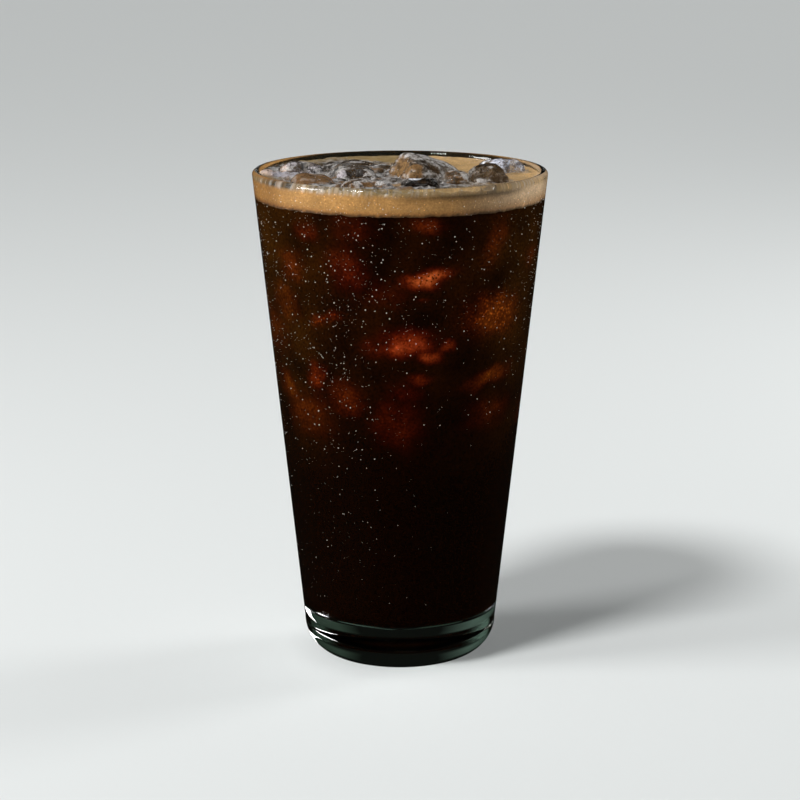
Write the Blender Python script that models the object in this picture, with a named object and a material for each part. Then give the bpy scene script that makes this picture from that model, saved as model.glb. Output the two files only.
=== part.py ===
"""An iced americano in a tapered tumbler: glass, coffee, the foam on it and the ice that stands out of it.

Metres, +Z up. The origin is on the surface that the glass stands on, at the middle of its base.
"""

import math

import bmesh
import bpy
from mathutils import Euler, Vector, noise

# Driving dimensions of the glass
GLASS_HEIGHT = 0.150
RIM_RADIUS = 0.04445
BASE_RADIUS = 0.0294
HEEL_WIDTH = 0.0113
HEEL_HEIGHT = 0.0110
FOOT_RING_WIDTH = 0.0056
PUNT_DEPTH = 0.0010
RIM_WALL = 0.0026
FOOT_WALL = 0.0032
FLOOR_HEIGHT = 0.0140
FLOOR_DISH = 0.0004
FLOOR_CORNER = 0.0050
GLASS_SEGMENTS = 64

# What fills the glass
FOAM_TOP = 0.1480
FOAM_DEPTH = 0.0056
FOAM_RELIEF = 0.00045
FOAM_LUMP = 0.0065
MENISCUS_RISE = 0.0004
MENISCUS_WIDTH = 0.0022
GAP = 0.0003
FILL_SEGMENTS = 56
FOAM_RINGS = 7

# The ice, in millimetres as it would be measured: the place of the middle, how far the top stands
# above the foam, the half sides, the turn about Z and the lean about X and Y in degrees, and the
# number that sets its dents.
MM = 0.001
ICE = {
    "ice_centre": ((6.6, 1.6), 6.9, (11.0, 9.8, 11.5), 16, (14, 21), 3),
    "ice_left": ((-30.2, 8.4), 3.4, (6.8, 7.6, 8.6), 10, (-6, 5), 5),
    "ice_mid_left": ((-14.2, -2.0), 3.6, (6.8, 7.6, 8.8), 12, (8, 6), 8),
    "ice_front_left": ((-26.4, -15.4), 2.9, (6.4, 6.2, 8.4), 24, (12, 8), 13),
    "ice_front": ((-9.6, -24.2), 2.1, (8.6, 6.2, 7.8), 5, (-7, 4), 21),
    "ice_front_low": ((6.2, -22.6), 2.3, (5.8, 5.0, 7.6), 10, (12, -6), 34),
    "ice_back": ((-9.8, 20.4), 2.0, (10.2, 7.6, 8.2), -12, (-8, 5), 55),
    "ice_chip": ((15.8, -14.4), 3.3, (3.9, 3.9, 6.8), 18, (10, 8), 89),
    "ice_right": ((26.6, -11.2), 4.9, (5.5, 6.4, 9.2), 14, (8, -8), 14),
    "ice_far_right": ((30.4, 6.8), 4.6, (6.2, 6.4, 8.8), 32, (-10, 8), 27),
}
ICE_SIDES = 5
ICE_SQUARENESS = 5.5
ICE_DENT = 0.07
ICE_DENT_SCALE = 1.3
ICE_ROOM = 0.0004


def clear_scene():
    for old in list(bpy.data.objects):
        bpy.data.objects.remove(old)


def material(name, colour, roughness, transmission=0.0, ior=1.45):
    made = bpy.data.materials.new(name)
    made.use_nodes = True
    shader = made.node_tree.nodes["Principled BSDF"]
    shader.inputs["Base Color"].default_value = (*colour, 1)
    shader.inputs["Roughness"].default_value = roughness
    shader.inputs["Metallic"].default_value = 0.0
    shader.inputs["Transmission Weight"].default_value = transmission
    shader.inputs["IOR"].default_value = ior
    made.diffuse_color = (*colour, 1)
    return made


def add_object(name, mesh, finish, sharp_degrees):
    mesh.materials.append(finish)
    mesh.shade_smooth()
    mesh.set_sharp_from_angle(angle=math.radians(sharp_degrees))
    made = bpy.data.objects.new(name, mesh)
    bpy.context.collection.objects.link(made)
    return made


def turned(name, outline, segments):
    """A mesh turned about Z from a half section of (radius, height) points, first and last on the axis."""
    shape = bmesh.new()
    points = [shape.verts.new((radius, 0, height)) for radius, height in outline]
    edges = [shape.edges.new(pair) for pair in zip(points, points[1:])]
    bmesh.ops.spin(
        shape, geom=points + edges, cent=(0, 0, 0), axis=(0, 0, 1), angle=2 * math.pi, steps=segments
    )
    bmesh.ops.remove_doubles(shape, verts=shape.verts, dist=0.00001)
    bmesh.ops.recalc_face_normals(shape, faces=shape.faces)
    mesh = bpy.data.meshes.new(name)
    shape.to_mesh(mesh)
    shape.free()
    return mesh


def arc(centre, width, height, start, end, steps):
    """Points of an ellipse's arc about (radius, height), angles in degrees from the outward direction."""
    angles = [math.radians(start + (end - start) * k / steps) for k in range(steps + 1)]
    return [(centre[0] + width * math.cos(a), centre[1] + height * math.sin(a)) for a in angles]


def outer_radius(height):
    """The straight outer wall, from the top of the heel to the rim."""
    share = (height - HEEL_HEIGHT) / (GLASS_HEIGHT - HEEL_HEIGHT)
    return BASE_RADIUS + (RIM_RADIUS - BASE_RADIUS) * share


def inner_radius(height):
    """The inner wall, which thickens from the rim down to the floor."""
    share = (height - FLOOR_HEIGHT) / (GLASS_HEIGHT - FLOOR_HEIGHT)
    return outer_radius(height) - FOOT_WALL - (RIM_WALL - FOOT_WALL) * share


def glass_outline():
    lip = RIM_WALL / 2
    lip_height = GLASS_HEIGHT - lip
    ring_radius = BASE_RADIUS - HEEL_WIDTH
    punt_radius = ring_radius - FOOT_RING_WIDTH
    corner_height = FLOOR_HEIGHT + FLOOR_CORNER
    corner_radius = inner_radius(corner_height)
    outline = [(0, PUNT_DEPTH), (punt_radius * 0.6, PUNT_DEPTH * 0.8), (punt_radius, 0), (ring_radius, 0)]
    outline += arc((ring_radius, HEEL_HEIGHT), HEEL_WIDTH, HEEL_HEIGHT, -90, 0, 7)[1:]
    outline += arc((outer_radius(lip_height) - lip, lip_height), lip, lip, 0, 180, 6)
    outline += arc((corner_radius - FLOOR_CORNER, corner_height), FLOOR_CORNER, FLOOR_CORNER, 0, -90, 4)
    outline += [(corner_radius * 0.4, FLOOR_HEIGHT - FLOOR_DISH * 0.8), (0, FLOOR_HEIGHT - FLOOR_DISH)]
    return outline


def coffee_outline():
    """The coffee, a gap inside the wall and above the floor, up to the foam."""
    top = FOAM_TOP - FOAM_DEPTH - GAP
    corner_height = FLOOR_HEIGHT + FLOOR_CORNER
    corner_radius = inner_radius(corner_height)
    room = FLOOR_CORNER - GAP
    outline = [(0, FLOOR_HEIGHT + GAP), (corner_radius * 0.4, FLOOR_HEIGHT + GAP)]
    outline += arc((corner_radius - FLOOR_CORNER, corner_height), room, room, -90, 0, 4)
    outline += [(inner_radius(top) - GAP, top), (inner_radius(top) * 0.5, top), (0, top)]
    return outline


def foam_height(x, y):
    """The foam's uneven top: soft lumps, and a rise where it climbs the wall."""
    lumps = noise.noise(Vector((x, y, 0.0)) / FOAM_LUMP) + 0.5 * noise.noise(Vector((y, x, 0.02)) / FOAM_LUMP * 2)
    to_wall = inner_radius(FOAM_TOP) - math.hypot(x, y)
    climb = MENISCUS_RISE * math.exp(-to_wall / MENISCUS_WIDTH)
    return FOAM_TOP + FOAM_RELIEF * lumps + climb


def foam_mesh():
    bottom = FOAM_TOP - FOAM_DEPTH
    edge = inner_radius(FOAM_TOP) - GAP
    outline = [(0, bottom), (inner_radius(bottom) - GAP, bottom)]
    outline += [(edge * (1 - ring / FOAM_RINGS), FOAM_TOP) for ring in range(FOAM_RINGS + 1)]
    mesh = turned("foam", outline, FILL_SEGMENTS)
    for vertex in mesh.vertices:
        if vertex.co.z > FOAM_TOP - FOAM_DEPTH / 2:
            vertex.co.z = foam_height(vertex.co.x, vertex.co.y)
    return mesh


def rounded_block(half, seed):
    """Points and faces of an ice cube with melted edges and shallow dents, about its middle."""
    shape = bmesh.new()
    bmesh.ops.create_cube(shape, size=2)
    bmesh.ops.subdivide_edges(shape, edges=shape.edges, cuts=ICE_SIDES - 1, use_grid_fill=True)
    for vertex in shape.verts:
        even = Vector([math.tan(c * math.pi / 4) for c in vertex.co])
        spread = sum(abs(c) ** ICE_SQUARENESS for c in even) ** (1 / ICE_SQUARENESS)
        point = even / spread
        dent = noise.noise(point * ICE_DENT_SCALE + Vector((seed, seed * 0.7, -seed)))
        point *= 1 + ICE_DENT * dent
        vertex.co = Vector(c * side for c, side in zip(point, half))
    bmesh.ops.recalc_face_normals(shape, faces=shape.faces)
    return shape


def place_ice(name, finish):
    """One ice cube, and the cutter that makes room for it in the foam and the coffee."""
    (x, y), stands, half, turn, (lean_x, lean_y), seed = ICE[name]
    shape = rounded_block([side * MM for side in half], seed)
    lean = Euler([math.radians(a) for a in (lean_x, lean_y, turn)]).to_matrix()
    bmesh.ops.rotate(shape, matrix=lean, verts=shape.verts)
    top = max(vertex.co.z for vertex in shape.verts)
    place = Vector((x * MM, y * MM, FOAM_TOP + stands * MM - top))

    mesh = bpy.data.meshes.new(name)
    shape.to_mesh(mesh)
    add_object(name, mesh, finish, 60).location = place

    shape.normal_update()
    for vertex, normal in [(v, v.normal.copy()) for v in shape.verts]:
        vertex.co += normal * ICE_ROOM
    room_mesh = bpy.data.meshes.new(name + "_room")
    shape.to_mesh(room_mesh)
    shape.free()
    room = bpy.data.objects.new(name + "_room", room_mesh)
    room.location = place
    room.hide_render = True
    room.display_type = "WIRE"
    return room


def cut_round(filling, rooms):
    cut = filling.modifiers.new("room for the ice", "BOOLEAN")
    cut.operation = "DIFFERENCE"
    cut.solver = "EXACT"
    cut.operand_type = "COLLECTION"
    cut.collection = rooms


def main():
    clear_scene()
    clear_glass = material("clear_glass", (0.93, 0.96, 0.95), 0.02, 1.0, 1.5)
    black_coffee = material("black_coffee", (0.028, 0.011, 0.005), 0.08)
    coffee_foam = material("coffee_foam", (0.62, 0.40, 0.19), 0.55)
    wet_ice = material("wet_ice", (0.80, 0.79, 0.78), 0.08, 0.8, 1.31)

    add_object("glass", turned("glass", glass_outline(), GLASS_SEGMENTS), clear_glass, 50)
    coffee = add_object("coffee", turned("coffee", coffee_outline(), FILL_SEGMENTS), black_coffee, 40)
    foam = add_object("foam", foam_mesh(), coffee_foam, 40)

    rooms = bpy.data.collections.new("room_for_ice")
    bpy.context.scene.collection.children.link(rooms)
    for name in ICE:
        rooms.objects.link(place_ice(name, wet_ice))
    cut_round(coffee, rooms)
    cut_round(foam, rooms)


main()
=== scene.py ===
"""The looks of an iced americano in its tumbler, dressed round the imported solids. Metres, +Z up."""

import math

import bmesh
import bpy
import numpy as np
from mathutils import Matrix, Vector, noise
from mathutils.bvhtree import BVHTree


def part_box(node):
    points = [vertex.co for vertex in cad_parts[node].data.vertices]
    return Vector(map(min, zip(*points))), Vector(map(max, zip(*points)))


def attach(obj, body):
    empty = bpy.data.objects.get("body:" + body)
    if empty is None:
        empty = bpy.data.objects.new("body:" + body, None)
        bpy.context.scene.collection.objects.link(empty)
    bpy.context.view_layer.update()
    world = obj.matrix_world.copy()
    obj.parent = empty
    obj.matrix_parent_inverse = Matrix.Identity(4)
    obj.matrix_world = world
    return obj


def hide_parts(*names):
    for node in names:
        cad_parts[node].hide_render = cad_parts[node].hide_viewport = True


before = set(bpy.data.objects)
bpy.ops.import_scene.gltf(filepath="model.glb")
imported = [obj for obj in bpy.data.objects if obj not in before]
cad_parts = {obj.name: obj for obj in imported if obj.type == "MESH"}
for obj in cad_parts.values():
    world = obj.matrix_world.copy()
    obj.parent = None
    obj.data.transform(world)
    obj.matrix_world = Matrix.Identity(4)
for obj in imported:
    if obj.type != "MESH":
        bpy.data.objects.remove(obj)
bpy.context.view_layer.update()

MM = 0.001

# The glass, as it is built
GLASS_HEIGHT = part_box("glass")[1].z
RIM_RADIUS = 44.45 * MM
BASE_RADIUS = 29.4 * MM
HEEL_WIDTH = 11.3 * MM
HEEL_HEIGHT = 11.0 * MM
FOOT_RING_WIDTH = 5.6 * MM
PUNT_DEPTH = 1.0 * MM
RIM_WALL = 2.6 * MM
FOOT_WALL = 3.2 * MM
FLOOR_HEIGHT = 14.0 * MM
FLOOR_DISH = 0.4 * MM
FLOOR_CORNER = 5.0 * MM
GLASS_SEGMENTS = 256

# What fills it, and how far that reaches into the wall so that no air shows between them
FOAM_TOP = 148.0 * MM
FOAM_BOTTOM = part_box("foam")[0].z
COFFEE_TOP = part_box("coffee")[1].z
REACH = 0.25 * MM

# The camera of the photo
CAMERA_PLACE = (0.0, -0.7874, 0.2569)
CAMERA_PITCH = 12.73
CAMERA_LENS = 118.9
SENSOR = 36.0

ICE_NODES = sorted(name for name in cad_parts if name.startswith("ice_"))


def outer_radius(height):
    """Of the straight outer wall, from the top of the heel to the rim."""
    share = (height - HEEL_HEIGHT) / (GLASS_HEIGHT - HEEL_HEIGHT)
    return BASE_RADIUS + (RIM_RADIUS - BASE_RADIUS) * share


def inner_radius(height):
    """Of the inner wall, whose thickness goes evenly from the floor's to the rim's."""
    share = (height - FLOOR_HEIGHT) / (GLASS_HEIGHT - FLOOR_HEIGHT)
    return outer_radius(height) - FOOT_WALL - (RIM_WALL - FOOT_WALL) * share


def arc(centre, width, height, start, end, steps):
    """Points of an ellipse's arc about (radius, height), angles in degrees from the outward direction."""
    angles = np.radians(np.linspace(start, end, steps + 1))
    return [(centre[0] + width * math.cos(a), centre[1] + height * math.sin(a)) for a in angles]


def mesh_object(name, points, faces, material, sharp_degrees=60):
    mesh = bpy.data.meshes.new(name)
    mesh.from_pydata([tuple(p) for p in points], [], faces)
    mesh.validate()
    mesh.materials.append(material)
    mesh.shade_smooth()
    mesh.set_sharp_from_angle(angle=math.radians(sharp_degrees))
    made = bpy.data.objects.new(name, mesh)
    bpy.context.scene.collection.objects.link(made)
    return made


def add_layer(piece, name, values, kind="FLOAT_COLOR"):
    """Stores a colour or a number for every point, which the piece's material reads."""
    layer = piece.data.attributes.new(name, kind, "POINT")
    field = "color" if kind == "FLOAT_COLOR" else "value"
    layer.data.foreach_set(field, np.asarray(values, np.float32).ravel())


def turned(outline, segments):
    """Points and faces turned about Z from (radius, height) points, first and last on the axis."""
    turns = np.arange(segments) * 2 * math.pi / segments
    points = [(0, 0, outline[0][1])]
    for radius, height in outline[1:-1]:
        points += [(radius * math.cos(a), radius * math.sin(a), height) for a in turns]
    points.append((0, 0, outline[-1][1]))
    faces = fan(0, 1, segments, False)
    for ring in range(len(outline) - 3):
        faces += band(1 + ring * segments, 1 + (ring + 1) * segments, segments)
    faces += fan(len(points) - 1, len(points) - 1 - segments, segments, True)
    return points, faces


def band(lower, upper, segments):
    """Quads between two rings of points, seen from outside with the lower ring first."""
    step = [(k, (k + 1) % segments) for k in range(segments)]
    return [(lower + a, lower + b, upper + b, upper + a) for a, b in step]


def fan(middle, ring, segments, upward):
    step = [(k, (k + 1) % segments) for k in range(segments)]
    if upward:
        return [(middle, ring + a, ring + b) for a, b in step]
    return [(middle, ring + b, ring + a) for a, b in step]


def layered_noise(point, size, octaves=3):
    """Noise from about -1 to 1, whose largest lumps are about size across."""
    return noise.fractal(Vector(point) / size, 0.9, 2.0, octaves)


def smooth_step(value, low, high):
    share = np.clip((value - low) / (high - low), 0, 1)
    return share * share * (3 - 2 * share)


def hump(value, start, full, last, end):
    """1 from full to last, and 0 before start and after end."""
    return smooth_step(value, start, full) * (1 - smooth_step(value, last, end))


def towards(colour, other, share):
    """A share of the way from one colour to another."""
    return np.asarray(colour) * (1 - share) + np.asarray(other) * share


def new_material(name):
    material = bpy.data.materials.new(name)
    material.use_nodes = True
    tree = material.node_tree
    return material, tree, tree.nodes["Principled BSDF"]


def node(tree, kind, **settings):
    made = tree.nodes.new(kind)
    for key, value in settings.items():
        if key in made.inputs:
            made.inputs[key].default_value = value
        else:
            setattr(made, key, value)
    return made


def mapped(tree, source, low, high, to_low, to_high):
    made = node(tree, "ShaderNodeMapRange")
    made.inputs["From Min"].default_value = low
    made.inputs["From Max"].default_value = high
    made.inputs["To Min"].default_value = to_low
    made.inputs["To Max"].default_value = to_high
    tree.links.new(source, made.inputs["Value"])
    return made.outputs["Result"]


def calculated(tree, operation, *values):
    made = node(tree, "ShaderNodeMath", operation=operation)
    for k, value in enumerate(values):
        if isinstance(value, (int, float)):
            made.inputs[k].default_value = value
        else:
            tree.links.new(value, made.inputs[k])
    return made.outputs[0]


def scaled_colour(tree, colour, factor):
    made = node(tree, "ShaderNodeVectorMath", operation="SCALE")
    tree.links.new(colour, made.inputs[0])
    tree.links.new(factor, made.inputs["Scale"])
    return made.outputs["Vector"]


def placed(tree, kind, **settings):
    """A texture that stays on the object."""
    made = node(tree, kind, **settings)
    place = node(tree, "ShaderNodeTexCoord")
    tree.links.new(place.outputs["Object"], made.inputs["Vector"])
    return made


def mixed_colour(tree, share, first, second):
    mix = node(tree, "ShaderNodeMix", data_type="RGBA")
    tree.links.new(share, mix.inputs["Factor"])
    for socket, value in ((mix.inputs["A"], first), (mix.inputs["B"], second)):
        if isinstance(value, tuple):
            socket.default_value = (*value, 1)
        else:
            tree.links.new(value, socket)
    return mix.outputs["Result"]


def product(tree, first, *others):
    for other in others:
        first = calculated(tree, "MULTIPLY", first, other)
    return first


def mixed_shader(tree, share, first, second):
    mix = node(tree, "ShaderNodeMixShader")
    for socket, value in zip(mix.inputs, (share, first, second)):
        tree.links.new(value, socket)
    return mix.outputs[0]


def show(tree, shader):
    """Makes the shader the surface of its material."""
    tree.links.new(shader, tree.nodes["Material Output"].inputs["Surface"])


def see_through_for_lamps(tree, shader, tint):
    """Shows the shader, but lets the lamps' light through to what would be in its shadow."""
    path = node(tree, "ShaderNodeLightPath")
    lamps = calculated(tree, "MAXIMUM", path.outputs["Is Shadow Ray"], path.outputs["Is Diffuse Ray"])
    clear = node(tree, "ShaderNodeBsdfTransparent", Color=(*tint, 1))
    show(tree, mixed_shader(tree, lamps, shader, clear.outputs[0]))


# The glass

def glass_material():
    material, tree, shader = new_material("clear_glass")
    shader.inputs["Base Color"].default_value = (0.985, 0.995, 0.99, 1)
    shader.inputs["Roughness"].default_value = 0.0
    shader.inputs["IOR"].default_value = 1.5
    shader.inputs["Transmission Weight"].default_value = 1.0
    see_through_for_lamps(tree, shader.outputs[0], (0.96, 0.97, 0.965))
    return material


def glass_outline():
    lip = RIM_WALL / 2
    lip_height = GLASS_HEIGHT - lip
    ring_radius = BASE_RADIUS - HEEL_WIDTH
    punt_radius = ring_radius - FOOT_RING_WIDTH
    corner_height = FLOOR_HEIGHT + FLOOR_CORNER
    corner_radius = inner_radius(corner_height)
    outline = [(punt_radius * k / 6, PUNT_DEPTH * (1 - (k / 6) ** 2)) for k in range(7)]
    outline += arc((ring_radius, HEEL_HEIGHT), HEEL_WIDTH, HEEL_HEIGHT, -90, 0, 24)
    outline += arc((outer_radius(lip_height) - lip, lip_height), lip, lip, 0, 180, 20)
    corner = arc((corner_radius - FLOOR_CORNER, corner_height), FLOOR_CORNER, FLOOR_CORNER, 0, -90, 14)
    flat = corner[-1][0]
    floor = [(flat * k / 8, FLOOR_HEIGHT - FLOOR_DISH * (1 - (k / 8) ** 2)) for k in range(7, -1, -1)]
    return outline + corner + floor


def make_glass():
    points, faces = turned(glass_outline(), GLASS_SEGMENTS)
    glass = mesh_object("tumbler", points, faces, glass_material())
    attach(glass, "root")
    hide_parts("glass")
    return glass


# The coffee, whose skin has the glow of the ice behind it painted on, and glows a little itself

# Where sunk ice comes near the wall, whose glow is painted on the coffee's skin: azimuth from the viewer in
# degrees, height, half width, half height, tilt in degrees, the coffee left before it, how its bubbles show
# as painted specks, from -1 dark to 1 bright, and how olive its glow looks, with 0 for red. Lengths are in
# millimetres.
SUNK_ICE = [
    (12.4, 123.3, 7.6, 2.5, 12, 0.95, -0.9, 0.0),
    (10.5, 117.0, 2.4, 0.8, 0, 3.2, 0.0, 0.0),
    (3.0, 104.4, 8.4, 4.3, 6, 1.55, 0.2, -0.1),
    (-9.7, 103.0, 6.0, 3.0, 6, 3.2, 0.0, 0.0),
    (13.4, 100.2, 4.4, 2.2, 8, 1.6, -0.5, 0.0),
    (21.5, 103.2, 3.2, 2.5, -6, 2.1, -0.5, 0.0),
    (45.0, 111.0, 12.0, 7.4, 0, 2.45, 1.0, 0.8),
    (47.0, 91.9, 10.2, 2.6, 13, 2.3, 0.3, 0.9),
    (9.5, 92.4, 4.6, 1.5, 2, 2.5, 0.2, 0.1),
    (-23.3, 125.9, 7.0, 8.6, 10, 3.1, 0.3, 0.1),
    (-41.6, 92.6, 3.6, 5.2, -12, 2.75, 0.5, 0.3),
    (-33.5, 110.4, 6.6, 2.6, 16, 3.15, 0.8, 0.2),
    (-52.5, 125.2, 7.4, 6.2, 0, 3.15, 0.2, 0.5),
    (-26.6, 87.0, 7.0, 6.4, 0, 3.1, 0.4, 0.7),
    (-50.0, 80.7, 12.0, 8.6, -10, 3.35, 0.2, 1.1),
    (-64.0, 87.0, 9.0, 4.6, -40, 3.0, 0.2, 1.3),
    (-1.0, 79.6, 8.8, 9.0, 0, 3.3, 0.2, 0.3),
    (2.3, 88.8, 7.0, 4.0, 0, 3.7, 0.2, 0.1),
    (10.6, 139.6, 6.0, 2.8, -8, 2.7, 0.2, 0.3),
    (42.5, 133.5, 4.8, 8.6, -20, 3.0, 0.4, 0.7),
    (-41.0, 136.9, 5.4, 3.8, 6, 3.05, 0.3, 0.1),
    (-19.3, 137.3, 8.0, 6.0, 0, 3.8, 0.2, 0.3),
    (47.0, 81.0, 11.0, 6.0, 0, 3.5, 0.2, 0.8),
    (-74.0, 104.0, 10.0, 9.0, 0, 3.3, 0.2, 1.4),
    (-59.8, 114.0, 8.0, 7.0, 0, 3.5, 0.2, 1.2),
    (-7.5, 119.0, 8.0, 5.0, 0, 3.9, 0.0, 0.0),
    (70.0, 126.0, 6.0, 5.0, 0, 3.4, 0.2, 0.6),
]

# The sunk ice that was made up for the sides and the back, in the same units: how many pieces, where they
# start and how far round they go, and the lowest and highest of each value
BACK_ICE = 26
BACK_START = 84
BACK_TURN = 192
BACK_STEP = 0.382
BACK_LOWEST = 78.0
BACK_RANGE = 60
BACK_WIDTHS = (4.0, 10.0)
BACK_FLATNESS = (0.35, 0.9)
BACK_TILTS = (-25, 25)
BACK_BUBBLES = (-0.6, 1)
BACK_LEAST_COFFEE = 1.2
BACK_MORE_COFFEE = 2.4
BACK_COFFEE_POWER = 0.6

# How the coffee thickens from the middle of a piece of ice to its sides, and how ragged that is
ABSORBS = 1.1
EDGE_DEPTH = 2.4
SIDES_POWER = 2.3
FURTHEST = 9.0
THINNEST = 0.15
WARP = 1.7
ROUGH = 0.65

# Painted glow on the coffee's skin: the ice's light coming back through the coffee, and its own haze, where
# there is ice
ICE_ZONE = (50.0, 124.0)
PAINTED_GLOW = 0.80
GREEN_SHARE, GREEN_POWER = 0.32, 1.45
BLUE_SHARE, BLUE_POWER = 0.070, 1.5
OLIVE_GREEN = 1.15
# The olive haze is a painted sheen on the coffee towards the viewer's left and right; the sides give where
# it starts and is full.
DARKEST, LEAST_HAZE, MOST_HAZE, OLIVE_SHEEN = 0.0024, 0.001, 0.007, 0.011
SHEEN_SIDES = (0.40, 0.95)
UNDER_FOAM = (0.006, 0.0022, 0.0008)

SKIN_AROUND = 380
SKIN_UP = 210

# Painted reflection: the base mirrors the far lower edge of the coffee, on which the grey-green of the cards
# is
# painted: the colour, and how far to the side it starts and is full
CORNER_PAINTED_REFLECTIONS = [
    ((0.085, 0.135, 0.105), -0.4 * MM, -3.0 * MM),
    ((0.030, 0.050, 0.036), 0.4 * MM, 2.0 * MM),
]
CORNER_HEIGHTS = (15.0 * MM, 17.0 * MM)
CORNER_WIDTHS = (4.0 * MM, 6.0 * MM)

# Where coffee meets glass at a shallow angle, light that is already in the glass is mirrored
COFFEE_AGAINST_GLASS = 1.333 / 1.5


def sunk_ice():
    """The ice seen in the photo, and as much again round the sides and the back."""
    rng = np.random.default_rng(7)
    pieces = list(SUNK_ICE)
    for k in range(BACK_ICE):
        azimuth = BACK_START + (k + 0.5) * BACK_TURN / BACK_ICE
        height = BACK_LOWEST + (k * BACK_STEP % 1) * BACK_RANGE
        width = rng.uniform(*BACK_WIDTHS)
        half_height = width * rng.uniform(*BACK_FLATNESS)
        left = BACK_LEAST_COFFEE + BACK_MORE_COFFEE * rng.random() ** BACK_COFFEE_POWER
        tilt = rng.uniform(*BACK_TILTS)
        shows, olive = rng.uniform(*BACK_BUBBLES), rng.random()
        pieces.append((azimuth, height, width, half_height, tilt, left, shows, olive))
    return pieces


def coffee_before_ice(azimuth, height, warp):
    """Millimetres of coffee before the nearest ice, and how its bubbles show and how olive it looks."""
    radius = np.array([inner_radius(h * MM) / MM for h in height])
    nearest = np.full(azimuth.shape, FURTHEST)
    bubbles = np.zeros(azimuth.shape)
    olive, weights = np.zeros(azimuth.shape), np.full(azimuth.shape, 1e-9)
    for turn, middle, half_width, half_height, tilt, left, shows, hue in sunk_ice():
        away = (azimuth - math.radians(turn) + math.pi) % (2 * math.pi) - math.pi
        across = away * radius + warp[:, 0]
        up = height - middle + warp[:, 1]
        lean = math.radians(tilt)
        along = (across * math.cos(lean) + up * math.sin(lean)) / half_width
        over = (-across * math.sin(lean) + up * math.cos(lean)) / half_height
        depth = left + EDGE_DEPTH * (np.abs(along) ** SIDES_POWER + np.abs(over) ** SIDES_POWER)
        bubbles = np.where(depth < nearest, shows * np.exp(-np.maximum(depth - left, 0) / 2), bubbles)
        nearest = np.minimum(nearest, depth)
        olive += hue * np.exp(-2 * depth)
        weights += np.exp(-2 * depth)
    return nearest, bubbles, olive / weights


def coffee_with_painted_glow(depth, height, haze, olive, side):
    """The colour painted on the skin: the glow that comes back from the ice through that much coffee, with
    the black brown of the coffee itself.
    """
    light = PAINTED_GLOW * np.exp(-ABSORBS * depth)
    ice_zone = smooth_step(height, *ICE_ZONE)
    own = DARKEST + (LEAST_HAZE + MOST_HAZE * haze) * ice_zone
    # The painted olive sheen towards the viewer's left and right.
    olive_sheen = OLIVE_SHEEN * (0.3 + 0.7 * haze) * side * ice_zone
    red = light + own + olive_sheen
    green = GREEN_SHARE * light ** GREEN_POWER * (1 + OLIVE_GREEN * olive) + own * 0.24 + olive_sheen * 0.40
    blue = BLUE_SHARE * light ** BLUE_POWER + own * 0.03 + olive_sheen * 0.04
    return np.stack([red, green, blue, np.ones_like(red)], axis=-1)


def coffee_material():
    material, tree, shader = new_material("black_coffee")
    seen = node(tree, "ShaderNodeAttribute", attribute_name="seen").outputs["Color"]
    bubbles = node(tree, "ShaderNodeAttribute", attribute_name="bubbles").outputs["Fac"]
    grain = placed(tree, "ShaderNodeTexNoise", Scale=1300.0, Detail=2.0, Roughness=0.6)
    dots = placed(tree, "ShaderNodeTexVoronoi", Scale=1050.0)
    grained = mapped(tree, grain.outputs["Fac"], 0.3, 0.72, 0.55, 1.6)
    dotted = mapped(tree, dots.outputs["Distance"], 0.20, 0.42, 1.0, 0.0)
    # Bubbles of the sunk ice show as painted specks; the bright ones are lifted further as painted glints.
    bright = calculated(tree, "GREATER_THAN", bubbles, 0.0)
    strength = calculated(tree, "MULTIPLY_ADD", bright, 1.6, 1.0)
    painted_specks = product(tree, dotted, bubbles, strength)
    lit = scaled_colour(tree, seen, product(tree, grained, calculated(tree, "ADD", painted_specks, 1.0)))
    tree.links.new(lit, shader.inputs["Base Color"])
    # The painted colour also glows, so that the skin shows its painted glow under any lamp.
    tree.links.new(lit, shader.inputs["Emission Color"])
    shader.inputs["Emission Strength"].default_value = 0.35
    shader.inputs["Roughness"].default_value = 0.5
    shader.inputs["Specular IOR Level"].default_value = 0.0
    mirror = node(tree, "ShaderNodeBsdfGlossy", Roughness=0.0)
    fresnel = node(tree, "ShaderNodeFresnel", IOR=COFFEE_AGAINST_GLASS)
    show(tree, mixed_shader(tree, fresnel.outputs["Fac"], shader.outputs[0], mirror.outputs[0]))
    return material


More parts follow.
